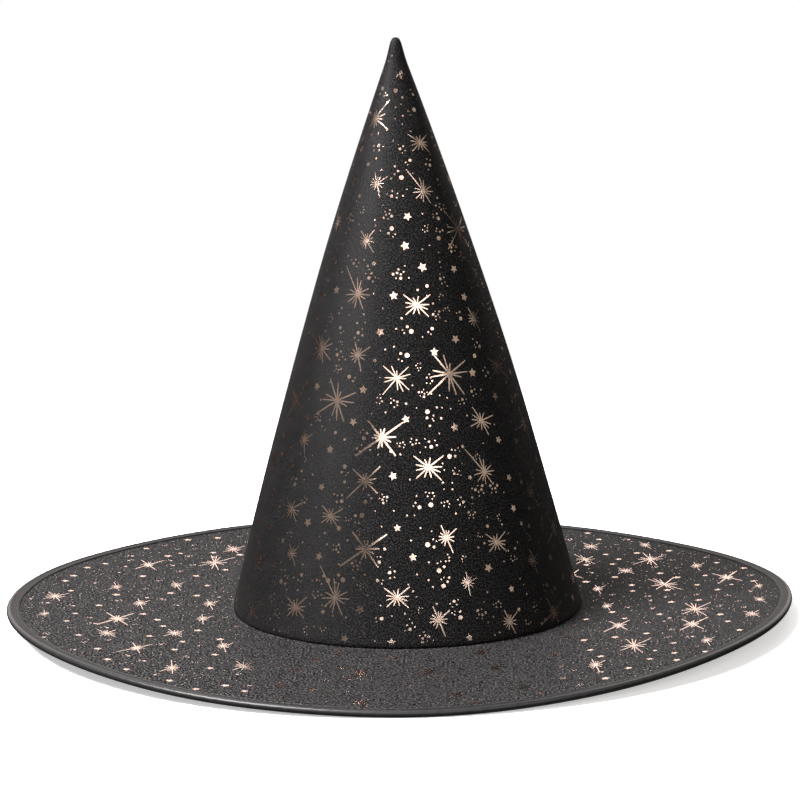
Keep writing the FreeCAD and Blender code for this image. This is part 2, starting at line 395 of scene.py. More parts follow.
def satinTape():
    # satin tape; its bead is pressed shinier than its flat legs
    made, board = newMaterial("satinTape")
    place = clothPlace(board, 1000)
    threads = twill(board, place, tapeLook["thread"], 0.0)
    drift = noise(board, place, 0.25, 2.0, 0.5)
    _, along, _ = board.split(place)
    edge = brimRadius * 1000
    color = board.mixColor(board.ramp(drift, 0.3, 0.7), gray(tapeLook["dark"]), gray(tapeLook["light"]))
    closeMaterial(board, {"Base Color": color, "Roughness": board.ramp(threads, 0, 1, 0.40, 0.50),
                          "Normal": board.bump(0.2, 0.0003, threads + drift * 2.0),
                          "Coat Weight": board.ramp(along, edge - 0.7, edge + 0.3, 0.0, tapeLook["beadGloss"]),
                          "Coat Roughness": 0.35, "Specular IOR Level": tapeLook["specular"]})
    return made


def plainWeave(name, dark, light, pitch, roughness):
    # thread over, thread under
    made, board = newMaterial(name)
    place = clothPlace(board, 1000)
    across, along, _ = board.split(place)
    turns = 2 * math.pi / pitch
    weave = (across * turns).math("SINE") * (along * turns).math("SINE") * 0.5 + 0.5
    drift = noise(board, place, 0.2, 3.0)
    closeMaterial(board, {"Base Color": board.mixColor(weave * 0.6 + drift * 0.4, gray(dark), gray(light)),
                          "Roughness": board.shine(drift, roughness), "Specular IOR Level": 0.35,
                          "Sheen Weight": 0.08, "Normal": board.bump(0.3, 0.0004, weave + drift)})
    return made


def grosgrain():
    # ribbon with fine upright ribs
    made, board = newMaterial("grosgrain")
    place = clothPlace(board, 1000)
    ribs = twill(board, place, 0.9, 0.0)
    fibre = noise(board, place, 2.5, 2.0)
    closeMaterial(board, {"Base Color": board.mixColor(ribs * 0.7 + fibre * 0.3, gray(0.012), gray(0.05)),
                          "Roughness": board.shine(fibre, 0.5, 0.2),
                          "Normal": board.bump(0.6, 0.0006, ribs + fibre * 0.3)})
    return made


def onObject(name, dark, light, scale, roughness, metallic=0.0, stretch=(1, 1, 1), bump=0.3):
    # a grain on the piece's own place: thread, felt, drawn wire, pinched tube
    made, board = newMaterial(name)
    place = board.node("ShaderNodeTexCoord", {}, {}, "Object")
    place = board.node("ShaderNodeMapping", {}, {"Vector": place, "Scale": stretch})
    grain = noise(board, place, scale, 4.0, 0.65)
    closeMaterial(board, {"Base Color": board.mixColor(board.ramp(grain, 0.3, 0.7), gray(dark), gray(light)),
                          "Metallic": metallic, "Roughness": board.shine(grain, roughness),
                          "Normal": board.bump(bump, 0.0003, grain)})
    return made


print("making materials")
crownCloth = printedCloth("crownCloth", printedLook, 1.0)
# the brim is the crown's own fabric with a lighter dark and light: a painted sheen, standing for the grazing sheen and
# overhead light the brim catches
brimPaintedSheenLook = {**printedLook, "dark": 0.003, "light": 0.082, "grain": 0.9, "roughness": 0.7, "specular": 0.02}
brimPaintedSheenCloth = printedCloth("brimPaintedSheenCloth", brimPaintedSheenLook, -1.0)
foilInk = foil()
tapeCloth = satinTape()
underCloth = plainWeave("underCloth", 0.010, 0.028, 0.9, 0.6)
liningCloth = plainWeave("liningCloth", 0.010, 0.034, 1.3, 0.5)
ribbonCloth = grosgrain()
threadLook = onObject("sewingThread", 0.012, 0.045, 2600, 0.5)
feltLook = onObject("stiffener", 0.42, 0.62, 700, 0.85, bump=0.5)
wireLook = onObject("springWire", 0.36, 0.62, 500, 0.25, 1.0, (0.2, 1, 6), 0.1)
crimpLook = onObject("crimpTube", 0.5, 0.75, 900, 0.3, 1.0, (6, 1, 1), 0.2)
labelCloth = plainWeave("labelCloth", 0.62, 0.80, 0.45, 0.45)


# the flat patterns

foot = {"level": 1.15 * mm, "tuck": 0.6, "ply": 1.4 * mm, "cloth": 0.4 * mm}
footRadius = wallRadius(foot["level"], foot["ply"] * foot["tuck"] + foot["cloth"])
tipTop = hat["crownHeight"] - 2.6 * mm
tipStart = hat["crownHeight"] - 16 * mm


def crownOutside():
    # the outside of the crown's cloth, from the gathered tip to the seam
    side = wallRadius(tipStart)
    nub = bend([(0.0, tipTop), (3.3 * mm, tipTop), (side - 2.95 * mm, tipStart + 9 * mm), (side, tipStart)], 16)
    wall = wallPoints(0.0, *evenly(tipStart, hat["rollHeight"], 118)[1:])
    roll = bend([wall[-1], (wallRadius(0.8 * mm), foot["level"]), (footRadius, foot["level"])], 8)
    return nub + wall + roll[1:]


class FlatCone:
    # the crown's cloth before it is sewn: a fan shape, rolled up about its point
    def __init__(self, profile):
        self.rows = []
        reach = 0.0
        for k, (radius, height) in enumerate(profile):
            if k:
                reach += math.dist(profile[k - 1], profile[k])
            self.rows.append((reach, radius, height))
        self.reaches = [row[0] for row in self.rows]
        self.reach = reach

    def at(self, reach):
        place = min(max(bisect.bisect_right(self.reaches, reach), 1), len(self.rows) - 1)
        first, second = self.rows[place - 1], self.rows[place]
        share = max(0.0, min(1.0, (reach - first[0]) / (second[0] - first[0])))
        radius = first[1] + (second[1] - first[1]) * share
        height = first[2] + (second[2] - first[2]) * share
        out = Vector((first[2] - second[2], second[1] - first[1])).normalized()
        return radius, height, out

    def reachOf(self, height):
        for first, second in zip(self.rows, self.rows[1:]):
            if second[2] <= height:
                share = (first[2] - height) / max(1e-9, first[2] - second[2])
                return first[0] + (second[0] - first[0]) * share
        return self.reach

    def spread(self, angle, reach):
        # from the cone to the flat fan
        radius = self.at(reach)[0]
        turn = angle * radius / max(reach, 1e-6)
        return Vector((reach * math.sin(turn), -reach * math.cos(turn)))

    def roll(self, x, y, lift):
        # from the flat fan to the cone
        reach = max(math.hypot(x, y), 1e-6)
        radius, height, out = self.at(reach)
        angle = math.atan2(x, -y) * reach / max(radius, 1e-6)
        return onCrown(angle, radius + lift * out.x, height + lift * out.y)


crownProfile = crownOutside()
fan = FlatCone(crownProfile)


# crown

def plyRows(low, high, outside, inside, steps):
    # an even ply of the crown between two heights
    heights = evenly(low, high, steps)
    return wallPoints(outside, *heights) + wallPoints(inside, *reversed(heights))


def crownShell():
    cloth = foot["cloth"]
    ply = foot["ply"]
    turnHeight = 2.4 * mm
    foldHeight = 1.55 * mm
    allowance = hat["allowance"]
    under = bend([(footRadius, foot["level"])] + wallPoints(ply + cloth, foot["level"], turnHeight), 4)[1:]
    hem = wallPoints(ply + cloth, allowance) + wallPoints(ply, allowance, turnHeight)
    fold = bend(wallPoints(ply, turnHeight, foldHeight) + [(footRadius, foldHeight)]
                + wallPoints(cloth, foldHeight, hat["rollHeight"]), 8)[1:]
    top = hat["crownHeight"] - 11 * mm
    inside = wallPoints(cloth, *evenly(hat["rollHeight"], top, 46)[1:])
    rows = crownProfile + under + hem + fold + inside + [(0.0, top + 2 * mm)]

    def flat(angle, radius, height):
        reach = fan.reachOf(height)
        return fan.spread(angle, max(reach, 1e-5))

    extra = [0.002, 0.004, 0.006, 0.009, 0.013, 0.02, 0.04, 0.06, 0.07, 0.078, 0.086, 0.095]
    angles = roundAngles(216, extra)
    return ringSkin("crownShell", rows, angles, onCrown, crownCloth, flat, poles=True)


def crownInside():
    # stiffener, and the thin lining with a few slack pleats
    stiff = ringSkin("crownStiffener", plyRows(4 * mm, hat["crownHeight"] - 12 * mm, 0.5 * mm, 1.3 * mm, 40),
                     roundAngles(144), onCrown, feltLook)

    def slack(angle, radius, height):
        share = max(0.0, min(1.0, (height - 12 * mm) / 60 / mm)) * (1 - height / hat["crownHeight"])
        pull = 0.5 + 0.5 * math.sin(9 * angle + height * 22 + math.sin(4 * angle))
        seam = math.exp(-(abs(backGap(angle)) / 0.02) ** 2)
        return onCrown(angle, radius - mm * (0.9 * pull * share + 0.25 * seam), height)

    lining = ringSkin("crownLining", plyRows(10.6 * mm, hat["crownHeight"] - 22 * mm, 1.4 * mm, 1.7 * mm, 70),
                      roundAngles(216, [0.01, 0.02, 0.04]), slack, liningCloth)
    return stiff, lining


print("making the crown")
crown = crownShell()
stiffCone, liningCone = crownInside()


# brim

brimLook = {
    "core": 1.1 * mm,
    "cloth": 0.35 * mm,
    "air": 0.1 * mm,
    "edge": brimRadius - 3.4 * mm,
    "collarGap": 1.95 * mm,
    "columns": 288,
}


def brimPly(name, low, collarInset, material):
    # one brim cloth, with its seam allowance turned up inside the crown
    high = low + brimLook["cloth"]
    allowance = hat["allowance"]
    innerInset = collarInset + brimLook["cloth"]
    top = [(r, high) for r in evenly(brimLook["edge"], wallRadius(high, collarInset), 26)]
    collar = wallPoints(collarInset, allowance / 2, allowance) + wallPoints(innerInset, allowance, allowance / 2)
    under = [(r, low) for r in evenly(wallRadius(high, innerInset), brimLook["edge"], 26)]

    def flat(angle, radius, height):
        return (radius * math.sin(angle), -radius * math.cos(angle))

    return ringSkin(name, top + collar + under, roundAngles(brimLook["columns"]), onBrim, material, flat)


def brimStiffener():
    half = brimLook["core"] / 2
    radii = evenly(hat["seamRadius"] - 1.6 * mm, brimLook["edge"], 12)
    rows = [(r, half) for r in radii] + [(r, -half) for r in reversed(radii)]
    return ringSkin("brimStiffener", rows, roundAngles(180), onBrim, feltLook)


print("making the brim")
topLevel = brimLook["core"] / 2 + brimLook["air"]
# the top cloth takes the lighter copy of the crown's fabric, with its painted sheen
brimTop = brimPly("brimTopCloth", topLevel, brimLook["collarGap"], brimPaintedSheenCloth)
underGap = brimLook["collarGap"] + brimLook["cloth"] + 0.15 * mm
brimUnder = brimPly("brimUnderCloth", -topLevel - brimLook["cloth"], underGap, underCloth)
brimCore = brimStiffener()


# edge binding

bindingLook = {
    "width": 6.7 * mm,
    "thick": 0.4 * mm,
    "bead": 1.8 * mm,
    "lapLength": 15 * mm,
    "lapThick": 0.35 * mm,
    "wobble": 0.16 * mm,
}
beadRadius = brimRadius - bindingLook["bead"]
tapeFace = brimLook["core"] / 2 + brimLook["cloth"] + 2 * brimLook["air"]


def halfCircle(radius, outward, steps=12):
    turns = [math.pi / 2 - math.pi * k / steps for k in range(steps + 1)]
    found = [(beadRadius + radius * math.cos(t), radius * math.sin(t)) for t in turns]
    return found if outward else found[::-1]


def tapeRows(grow=0.0, thick=None, short=0.0):
    # the folded tape's section, from the leg on top, round the bead, to the leg below and back inside
    thick = thick or bindingLook["thick"]
    leg = brimRadius - bindingLook["width"] + short
    neck = beadRadius - 1.6 * mm
    face = tapeFace + grow
    outside = bindingLook["bead"] + grow + thick - bindingLook["thick"]
    onTop = [(leg, face + thick * 0.35), (leg + 0.12 * mm, face + thick), (leg + 1.6 * mm, face + thick),
             (neck, face + thick - 0.02 * mm)]
    dip = bend([onTop[-1], (neck + 0.7 * mm, face + thick - 0.12 * mm), (beadRadius - 0.5 * mm, outside - 0.02 * mm),
                (beadRadius, outside)], 5)[1:-1]
    outer = onTop + dip + halfCircle(outside, True)
    outer += [(r, -z) for r, z in reversed(onTop + dip)]
    inside = outside - thick
    backIn = bend([(beadRadius, inside), (neck + 0.6 * mm, face), (neck, face)], 3)
    inner = [(r, -z) for r, z in reversed(backIn + [(leg + 0.05 * mm, face)])]
    inner += halfCircle(inside, False)[1:-1]
    return outer + inner + backIn + [(leg + 0.05 * mm, face)]


def onTape(angle, radius, height):
    # the tape's inner edge wanders, and its bead dips where the stitches pull
    inward = max(0.0, min(1.0, (beadRadius - radius) / (4 * mm)))
    wander = math.sin(23 * angle) * 0.6 + math.sin(61 * angle + 1.0) * 0.4
    pucker = math.sin(170 * angle + 0.5 * math.sin(9 * angle))
    lift = (0.05 * pucker * (1 - inward)) * mm * (1 if height > 0 else -0.3)
    return onBrim(angle, radius + bindingLook["wobble"] * wander * inward, height + lift)


def tapeFlat(angle, radius, height):
    return angle * brimRadius, radius + height


def bindingLap():
    # the end of the tape, turned under and lapped over its beginning at the back
    rows = tapeRows(0.42 * mm, bindingLook["lapThick"], 0.1 * mm)
    half = bindingLook["lapLength"] / 2 / brimRadius
    angles = [backAngle + half * (2 * k / 10 - 1) for k in range(11)]
    return stripSkin("bindingLap", rows, angles, onTape, tapeFlat, tapeCloth)


print("making the binding")
binding = ringSkin("edgeBinding", tapeRows(), roundAngles(600), onTape, tapeCloth, tapeFlat)


# stitches

def pointTree(name, inputs):
    # a geometry tree that works on points: its board, its inputs as wires, and the inputs' sockets
    tree = bpy.data.node_groups.new(name, "GeometryNodeTree")
    face = tree.interface
    face.new_socket(name="Geometry", in_out="INPUT", socket_type="NodeSocketGeometry")
    sockets = {label: face.new_socket(name=label, in_out="INPUT", socket_type="NodeSocket" + kind)
               for label, kind in inputs.items()}
    face.new_socket(name="Geometry", in_out="OUTPUT", socket_type="NodeSocketGeometry")
    board = Board(tree)
    wires = {"Geometry": board.node("NodeGroupInput", {}, {}, "Geometry")}
    for label in inputs:
        wires[label] = board.other(label)
    return board, wires, sockets


def pointValue(board, label, kind):
    return board.node("GeometryNodeInputNamedAttribute", {"data_type": kind}, {"Name": label})


def looseness(board, low, high, seed):
    return board.node("FunctionNodeRandomValue", {"data_type": "FLOAT"}, {2: low, 3: high, "Seed": seed}, 1)


def closeTree(board, points, settings, material):
    # an instance on each point, made real and given its material
    placed = board.node("GeometryNodeInstanceOnPoints", {}, {"Points": points, **settings})
    solid = board.node("GeometryNodeRealizeInstances", {}, {0: placed})
    painted = board.node("GeometryNodeSetMaterial", {}, {"Geometry": solid, "Material": material})
    board.node("NodeGroupOutput", {}, {"Geometry": painted})


def stitchTree():
    # one stitch for each point, turned to follow its path
    board, given, sockets = pointTree("stitchRow", {"Stitch Length": "Float", "Thread Radius": "Float",
                                                    "Seed": "Int", "Material": "Material"})
    bead = board.node("GeometryNodeMeshUVSphere", {}, {"Segments": 6, "Rings": 5, "Radius": 1.0})
    along = pointValue(board, "along", "FLOAT_VECTOR")
    turn = board.node("FunctionNodeAlignRotationToVector", {"axis": "X"}, {"Vector": along})
    jitter = looseness(board, 0.9, 1.1, given["Seed"])
    thick = given["Thread Radius"]
    size = board.node("ShaderNodeCombineXYZ", {}, {0: given["Stitch Length"] * jitter * 0.5, 1: thick, 2: thick})
    closeTree(board, given["Geometry"], {"Instance": bead, "Rotation": turn, "Scale": size}, given["Material"])
    return board.tree, sockets


def bakeTree(name, mesh, treeAndSockets, values):
    # run a geometry tree on a mesh once, and keep only its result
    tree, sockets = treeAndSockets
    holder = bpy.data.objects.new(name + "Points", mesh)
    bpy.context.scene.collection.objects.link(holder)
    modifier = holder.modifiers.new("grow", "NODES")
    modifier.node_group = tree
    for label, value in values.items():
        modifier[sockets[label].identifier] = value
    bpy.context.view_layer.update()
    shown = holder.evaluated_get(bpy.context.evaluated_depsgraph_get())
    result = bpy.data.meshes.new_from_object(shown)
    holder.modifiers.remove(modifier)
    bpy.data.objects.remove(holder)
    piece = bpy.data.objects.new(name, result)
    bpy.context.scene.collection.objects.link(piece)
    return piece


def stitchRow(name, path, pitch, length, radius, seed):
    # path gives a point for an angle; stitches follow it all the way round
    around = [path(2 * math.pi * k / 720) for k in range(721)]
    total = sum((b - a).length for a, b in zip(around, around[1:]))
    count = round(total / pitch)
    points, ways = [], []
    for k in range(count):
        angle = 2 * math.pi * (k + 0.5) / count
        points.append(path(angle))
        ways.append((path(angle + 0.001) - path(angle - 0.001)).normalized())
    mesh = bpy.data.meshes.new(name + "Points")
    mesh.from_pydata(points, [], [])
    attribute = mesh.attributes.new("along", "FLOAT_VECTOR", "POINT")
    for item, way in zip(attribute.data, ways):
        item.vector = way
    piece = bakeTree(name, mesh, stitching, {"Stitch Length": length, "Thread Radius": radius, "Seed": seed,
                                             "Material": threadLook})
    piece.data.shade_smooth()
    return piece


stitchLook = {
    "pitch": 3.1 * mm,
    "length": 2.6 * mm,
    "radius": 0.17 * mm,
    "inFromTapeEdge": 1.2 * mm,
}


def tapeStitches(name, side, seed):
    line = brimRadius - bindingLook["width"] + stitchLook["inFromTapeEdge"]
    face = side * (tapeFace + bindingLook["thick"] + 0.05 * mm)
    return stitchRow(name, lambda angle: onTape(angle, line, face), stitchLook["pitch"], stitchLook["length"],
                     stitchLook["radius"], seed)


print("sewing")
stitching = stitchTree()
topStitches = tapeStitches("bindingStitchesTop", 1, 3)
underStitches = tapeStitches("bindingStitchesUnder", -1, 5)
lap = bindingLap()


# sweatband

bandLook = {
    "low": -1.0 * mm,
    "bend": 4.5 * mm,
    "high": 30 * mm,
    "inside": 88.3 * mm,
    "thick": 0.8 * mm,
    "topSpare": 0.6 * mm,
    "lap": 14 * mm,
    "columns": 300,
    "lowStitches": 7.0 * mm,
    "highStitches": 27.5 * mm,
}
bandTop = wallRadius(bandLook["high"], 1.7 * mm) - bandLook["thick"] - bandLook["topSpare"]


def bandInside(height):
    if height < bandLook["bend"]:
        return bandLook["inside"]
    share = (height - bandLook["bend"]) / (bandLook["high"] - bandLook["bend"])
    return bandLook["inside"] + (bandTop - bandLook["inside"]) * share


def onBand(angle, radius, height):
    x = radius * math.sin(angle) + hat["axisX"]
    return Vector((x, -radius * math.cos(angle), height + hat["seamLevel"]))


def sweatRibbon():
    # one ribbon, once round and a little more, its end lapped inside its beginning at the back
    low, high, thick = bandLook["low"], bandLook["high"], bandLook["thick"] * 0.8
    heights = evenly(low, high, 12)
    rows = [(h, 0.0) for h in heights] + [(h, thick) for h in reversed(heights)]
    start = backAngle - bandLook["lap"] / bandLook["inside"]
    turn = 2 * math.pi + bandLook["lap"] / bandLook["inside"]
    angles = [start + turn * k / bandLook["columns"] for k in range(bandLook["columns"] + 1)]

    def place(angle, height, out):
        ending = max(0.0, min(1.0, (angle - start - 2 * math.pi + 0.06) / 0.05))
        inward = (thick + 0.12 * mm) * ending * ending * (3 - 2 * ending)
        wave = 0.06 * mm * math.sin(14 * angle) + 0.05 * mm * math.sin(37 * angle)
        edge = max(0.0, (height - 20 * mm) / (10 * mm))
        return onBand(angle, bandInside(height) + out + 0.1 * mm - inward + wave * edge, height)

    def flat(angle, height, out):
        return angle * bandLook["inside"], height

    return stripSkin("sweatRibbon", rows, angles, place, flat, ribbonCloth)


def bandStitches(name, height, seed):
    return stitchRow(name, lambda angle: onBand(angle, bandInside(height) + 0.06 * mm, height), 3.4 * mm, 2.7 * mm,
                     0.19 * mm, seed)


sweatband = sweatRibbon()
lowBandStitches = bandStitches("sweatbandStitchesLow", bandLook["lowStitches"], 11)
highBandStitches = bandStitches("sweatbandStitchesHigh", bandLook["highStitches"], 13)


# care label

labelLook = {"curl": 1.1 * mm, "thick": 0.35 * mm, "columns": 24, "rows": 24, "corner": 1.8 * mm}


def careLabel():
    # a blank woven label with a soft curl at its free corners
    low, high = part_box("care_label")
    width, length = high[0] - low[0], high[2] - low[2]
    middleX, back = (low[0] + high[0]) / 2, (low[1] + high[1]) / 2
    corner = labelLook["corner"]
    falls = [j / labelLook["rows"] for j in range(labelLook["rows"] + 1)]
    rows = [(fall, -0.5) for fall in falls] + [(fall, 0.5) for fall in reversed(falls)]
    shares = [2 * i / labelLook["columns"] - 1 for i in range(labelLook["columns"] + 1)]

    def place(share, fall, side):
        inset = max(0.0, fall * length - (length - corner)) / corner
        pinch = corner * (1 - math.sqrt(max(0.0, 1 - inset * inset)))
        curl = labelLook["curl"] * fall ** 2 * (0.35 + 0.65 * share ** 2)
        soft = 0.12 * mm * math.sin(5 * share + 3 * fall) * fall
        return (middleX + share * (width / 2 - pinch), back - curl + soft + side * labelLook["thick"],
                high[2] - fall * length)

    def flat(share, fall, side):
        return width * (share + 1) / 2, length * fall

    return stripSkin("blankLabel", rows, shares, place, flat, labelCloth)


label = careLabel()


# the foil print

# Each burst is a list of rays: direction in degrees, length in mm. Widths are half widths in mm.
bursts = {
    "wide": {"core": 1.15, "base": 0.50, "tip": 0.26,
             "rays": [(2, 10.6), (30, 12), (75, 5.5), (99, 10), (123, 13.6), (163, 8.9), (183, 10), (215, 16),
                      (260, 8.9), (281, 11), (302, 12.8), (342, 7)]},
    "cross": {"core": 1.7, "base": 0.62, "tip": 0.34,
              "rays": [(4, 7.3), (37, 13.6), (74, 5), (100, 4.4), (131, 11.6), (162, 4.3), (183, 5.2), (215, 16.4),
                       (252, 6), (273, 4.9), (309, 11.8), (336, 5.3)]},
    "even": {"core": 1.2, "base": 0.46, "tip": 0.26,
             "rays": [(0, 7), (34, 9.8), (75, 5), (112, 4.4), (139, 9.2), (165, 6.4), (190, 6.3), (218, 8.3),
                      (244, 5.4), (282, 5.3), (313, 9.2), (336, 6.5)]},
    "small": {"core": 1.1, "base": 0.40, "tip": 0.24,
              "rays": [(5, 4.6), (37, 8.1), (66, 4.4), (88, 4.2), (109, 7.5), (138, 4.6), (166, 4.4), (193, 4.8),
                       (221, 4.2), (250, 4.6), (289, 9.2), (331, 4.8)]},
    "tall": {"core": 1.2, "base": 0.46, "tip": 0.24,
             "rays": [(0, 8), (30, 7.5), (60, 4.6), (82, 8.2), (100, 9.9), (124, 19.6), (158, 6.4), (186, 8),
                      (220, 8), (245, 6), (265, 8), (300, 10), (335, 6)]},
}
# Dots that are printed together: across, up and radius, in mm.
dotGroups = [
    [(0, 0, 0.95), (2.6, 1.4, 0.55), (-1.6, 2.2, 0.6), (1.2, 3.4, 0.45), (-2.8, -0.8, 0.4)],
    [(0, 0, 0.7), (1.7, -1.2, 0.75), (-1.9, -0.6, 0.5), (-0.6, 1.9, 0.55), (0.9, 3.2, 0.8), (-2.6, 2.2, 0.45),
     (2.4, 1.3, 0.4)],
    [(0, 0, 1.35), (-2.7, 2.2, 0.8), (-3.7, -1.7, 0.5), (-5.0, -0.2, 0.42)],
    [(0, 0, 0.5), (1.5, 0.7, 0.5), (-1.1, 1.4, 0.45), (2.5, 2.2, 0.4)],
    [(0, 0, 1.1), (2.2, 2.6, 0.6), (0.3, 3.6, 0.45)],
    [(0, 0, 0.45), (1.2, 1.5, 0.6), (2.9, 1.0, 0.4), (-1.4, -1.2, 0.4), (0.8, -1.8, 0.5), (3.4, -0.8, 0.4)],
]
printLook = {
    "thick": 0.05 * mm,
    "lift": 0.03 * mm,
    "rayStep": 2.1,          # mm between the points along a ray
    "starRadius": 2.35,
    "starInner": 0.52,
    "margin": 1.5 * mm,
}


def printBurst(bm, burst):
    # flat rays round a core; each ray is a strip of short quads
    rays = sorted(burst["rays"])
    count = len(rays)
    notch = []
    for k, (turn, length) in enumerate(rays):
        after = rays[(k + 1) % count][0] + (360 if k == count - 1 else 0)
        middle = math.radians((turn + after) / 2)
        notch.append(bm.verts.new((burst["core"] * math.cos(middle), burst["core"] * math.sin(middle), 0)))
    centre = bm.verts.new((0, 0, 0))
    for k, (turn, length) in enumerate(rays):
        way = Vector((math.cos(math.radians(turn)), math.sin(math.radians(turn)), 0))
        side = Vector((way.y, -way.x, 0))
        right, left = notch[k - 1], notch[k]
        bm.faces.new((centre, right, left))
        steps = max(1, round((length - burst["core"]) / printLook["rayStep"]))
        for n in range(1, steps + 1):
            far = burst["core"] + (length - burst["core"]) * n / steps
            half = burst["base"] + (burst["tip"] - burst["base"]) * n / steps
            nextRight = bm.verts.new(way * far + side * half)
            nextLeft = bm.verts.new(way * far - side * half)
            bm.faces.new((right, nextRight, nextLeft, left))
            right, left = nextRight, nextLeft


def printRim(bm, x, y, corners, fan):
    # corners are (radius, turn); a fan has a point in its middle, and a small dot is one flat face
    rim = [bm.verts.new((x + radius * math.cos(turn), y + radius * math.sin(turn), 0)) for radius, turn in corners]
    if fan:
        centre = bm.verts.new((x, y, 0))
        for k, corner in enumerate(rim):
            bm.faces.new((centre, corner, rim[(k + 1) % len(rim)]))
    else:
        bm.faces.new(rim)


def printDot(bm, x, y, radius):
    big = radius > 0.7
    count = 8 if big else 6
    printRim(bm, x, y, [(radius, 2 * math.pi * k / count) for k in range(count)], big)


def printStar(bm):
    radii = [printLook["starRadius"], printLook["starRadius"] * printLook["starInner"]] * 5
    printRim(bm, 0, 0, [(radius, math.pi / 2 + math.pi * k / 5) for k, radius in enumerate(radii)], True)


def motifSet():
    # every motif once, flat, in millimetres, in a collection that the print picks from by number
    found = bpy.data.collections.new("motifs")
    made = []

    def keep(name, reach, draw):
        bm = bmesh.new()
        draw(bm)
        bmesh.ops.solidify(bm, geom=bm.faces[:], thickness=1.0)
        bmesh.ops.recalc_face_normals(bm, faces=bm.faces)
        level = min(v.co.z for v in bm.verts)
        for v in bm.verts:
            v.co.z -= level
        mesh = bpy.data.meshes.new(name)
        bm.to_mesh(mesh)
        bm.free()
        shape = bpy.data.objects.new("motif%02d" % len(made), mesh)
        found.objects.link(shape)
        made.append({"name": name, "reach": reach})

    for name, burst in bursts.items():
        keep(name, max(ray[1] for ray in burst["rays"]), lambda bm, b=burst: printBurst(bm, b))
    keep("star", printLook["starRadius"], printStar)
    keep("dot", 0.5, lambda bm: printDot(bm, 0, 0, 0.5))
    keep("bigDot", 1.0, lambda bm: printDot(bm, 0, 0, 1.0))
    for k, group in enumerate(dotGroups):
        keep("dots%d" % k, max(math.hypot(x, y) + r for x, y, r in group),
             lambda bm, g=group: [printDot(bm, x, y, r) for x, y, r in g])
    return found, made


def printTree():
    # one motif for each point, picked by number, turned and sized by the point
    board, given, sockets = pointTree("foilPrint", {"Motifs": "Collection", "Foil Thickness": "Float",
                                                    "Seed": "Int", "Foil": "Material"})
    shapes = board.node("GeometryNodeCollectionInfo", {}, {"Collection": given["Motifs"], "Separate Children": True,
                                                            "Reset Children": True})
    wide = pointValue(board, "size", "FLOAT") * looseness(board, 0.94, 1.06, given["Seed"]) * mm
    tall = wide * pointValue(board, "tall", "FLOAT")
    scale = board.node("ShaderNodeCombineXYZ", {}, {0: wide, 1: tall, 2: given["Foil Thickness"]})
    turn = board.node("ShaderNodeCombineXYZ", {}, {2: pointValue(board, "turn", "FLOAT")})
    closeTree(board, given["Geometry"], {"Instance": shapes, "Pick Instance": True, "Rotation": turn, "Scale": scale,
                                         "Instance Index": pointValue(board, "pick", "INT")}, given["Foil"])
    return board.tree, sockets


class Layout:
    # where the motifs go on one flat pattern, with room between them
    cell = 0.02

    def __init__(self, seed, inside, stretch=1.0, bothWays=False):
        self.dice = random.Random(seed)
        self.inside = inside
        self.stretch = stretch
        self.bothWays = bothWays
        self.cells = {}
        self.points = []

    def near(self, x, y, reach):
        column, row = int(x // self.cell), int(y // self.cell)
        span = int(reach / self.cell) + 1
        for i in range(column - span, column + span + 1):
            for j in range(row - span, row + span + 1):
                yield from self.cells.get((i, j), ())

    def put(self, x, y, name, size, turn, room):
        self.cells.setdefault((int(x // self.cell), int(y // self.cell)), []).append((x, y, room))
        self.points.append((x, y, motifNumber[name], size, turn, self.tallness(name)))

    def tallness(self, name):
        return self.stretch if name in bursts else 1.0

    def scatter(self, box, tries, room, names, sizes, turns):
        room *= mm
        for _ in range(tries):
            x = self.dice.uniform(box[0], box[2])
            y = self.dice.uniform(box[1], box[3])
            name = self.dice.choice(names) if len(names) > 1 else names[0]
            size = self.dice.uniform(*sizes)
            turn = self.dice.uniform(*turns) if turns else 0.0
            if self.bothWays and name in bursts:
                turn += self.dice.choice([0, math.pi])
            reach = motifReach[name] * size * mm * self.tallness(name)
            if not self.inside(x, y, reach):
                continue
            if any(math.hypot(x - a, y - b) < room + r for a, b, r in self.near(x, y, room + 0.014)):
                continue
            self.put(x, y, name, size, turn, room)

    def fill(self, box, passes, closeness):
        # the bursts first; smaller motifs may come closer to them than they do to each other
        self.scatter(box, *passes[0])
        for place, kept in self.cells.items():
            self.cells[place] = [(x, y, room * closeness) for x, y, room in kept]
        for settings in passes[1:]:
            self.scatter(box, *settings)

    def mesh(self, name):
        mesh = bpy.data.meshes.new(name)
        mesh.from_pydata([(p[0], p[1], 0.0) for p in self.points], [], [])
        for column, label in enumerate(("pick", "size", "turn", "tall"), 2):
            attribute = mesh.attributes.new(label, "INT" if label == "pick" else "FLOAT", "POINT")
            for item, point in zip(attribute.data, self.points):
                item.value = point[column]
        return mesh


groupNames = ["dots%d" % k for k in range(len(dotGroups))]
# Each pass: tries, room in mm, the motifs to pick from, least and most size, least and most turn in radians.
crownPasses = [
    (1500, 13.0, ["wide", "cross", "even", "even", "small", "small", "tall"], (0.72, 0.95), (-0.25, 0.25)),
    (700, 6.5, ["star"], (0.85, 1.1), (0, 2 * math.pi)),
    (3500, 3.4, groupNames, (0.75, 1.05), (0, 2 * math.pi)),
    (350, 2.2, ["bigDot"], (0.7, 1.35), None),
    (5000, 1.4, ["dot"], (0.65, 1.25), (0, 1)),
]
brimPasses = [
    (2600, 15.5, ["wide", "cross", "cross", "even", "even", "small", "small", "small"], (0.52, 0.76), (-0.2, 0.2)),
    (800, 6.5, ["star"], (0.85, 1.1), (0, 2 * math.pi)),
    (1300, 4.6, groupNames, (0.55, 0.85), (-0.5, 0.5)),
    (120, 2.2, ["bigDot"], (0.7, 1.35), None),
    (9000, 1.3, ["dot"], (0.4, 0.8), (0, 1)),
]
